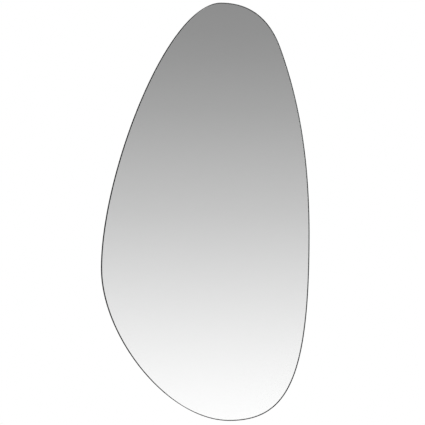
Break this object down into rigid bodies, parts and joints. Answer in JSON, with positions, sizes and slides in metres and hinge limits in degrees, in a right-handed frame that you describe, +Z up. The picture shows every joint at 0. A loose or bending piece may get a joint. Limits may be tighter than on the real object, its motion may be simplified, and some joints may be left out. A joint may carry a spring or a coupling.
{
  "type": "wall mirror",
  "caption": "Tall pebble-shaped wall mirror with a thin dark metal rim, a backing board and swinging ring hangers behind it.",
  "frame": {"origin": "on the wall plane, midway between the two wall hooks and level with the place where the raised rings bear on them", "axes": "+Z up, +X to the right seen from the front, +Y from the glass to the wall (the mirror faces -Y)"},
  "size_m": [0.5, 0.021, 1],
  "materials": {
    "black_steel": "satin black powder coat",
    "clear_glass": "polished clear float glass",
    "silver": "silvered, with grey protective paint behind",
    "fibreboard": "bare medium density fibreboard",
    "foam_tape": "white foam",
    "zinc_steel": "bright zinc plate",
    "screw_steel": "zinc plate",
    "rubber": "matte black rubber"
  },
  "bodies": {
    "mirror": {"rim_band": "black_steel", "mirror_glass": "clear_glass", "silver_coat": "silver", "back_board": "fibreboard", "rim_tab_1": "black_steel", "rim_tab_2": "black_steel", "rim_tab_3": "black_steel", "rim_tab_4": "black_steel", "rim_tab_5": "black_steel", "rim_tab_6": "black_steel", "rim_tab_7": "black_steel", "rim_tab_8": "black_steel", "tape_strip_1": "foam_tape", "tape_strip_2": "foam_tape", "tape_strip_3": "foam_tape", "tape_strip_4": "foam_tape", "tape_strip_5": "foam_tape", "hanger_strap_left": "zinc_steel", "hanger_strap_right": "zinc_steel", "wall_bumper_1": "rubber", "wall_bumper_2": "rubber", "wall_bumper_3": "rubber", "wall_bumper_4": "rubber", "rim_tab_screws": "screw_steel", "hanger_screws": "screw_steel"},
    "ring_left": {"hanger_ring_left": "zinc_steel"},
    "ring_right": {"hanger_ring_right": "zinc_steel"}
  },
  "joints": [
    {"name": "ring_left_swing", "type": "hinge", "parent": "mirror", "child": "ring_left", "pos_m": [-0.12, -0.00375, -0.01572], "axis": [-1, 0, 0], "range_deg": [0, 178]},
    {"name": "ring_right_swing", "type": "hinge", "parent": "mirror", "child": "ring_right", "pos_m": [0.12, -0.00375, -0.01572], "axis": [-1, 0, 0], "range_deg": [0, 178]}
  ]
}
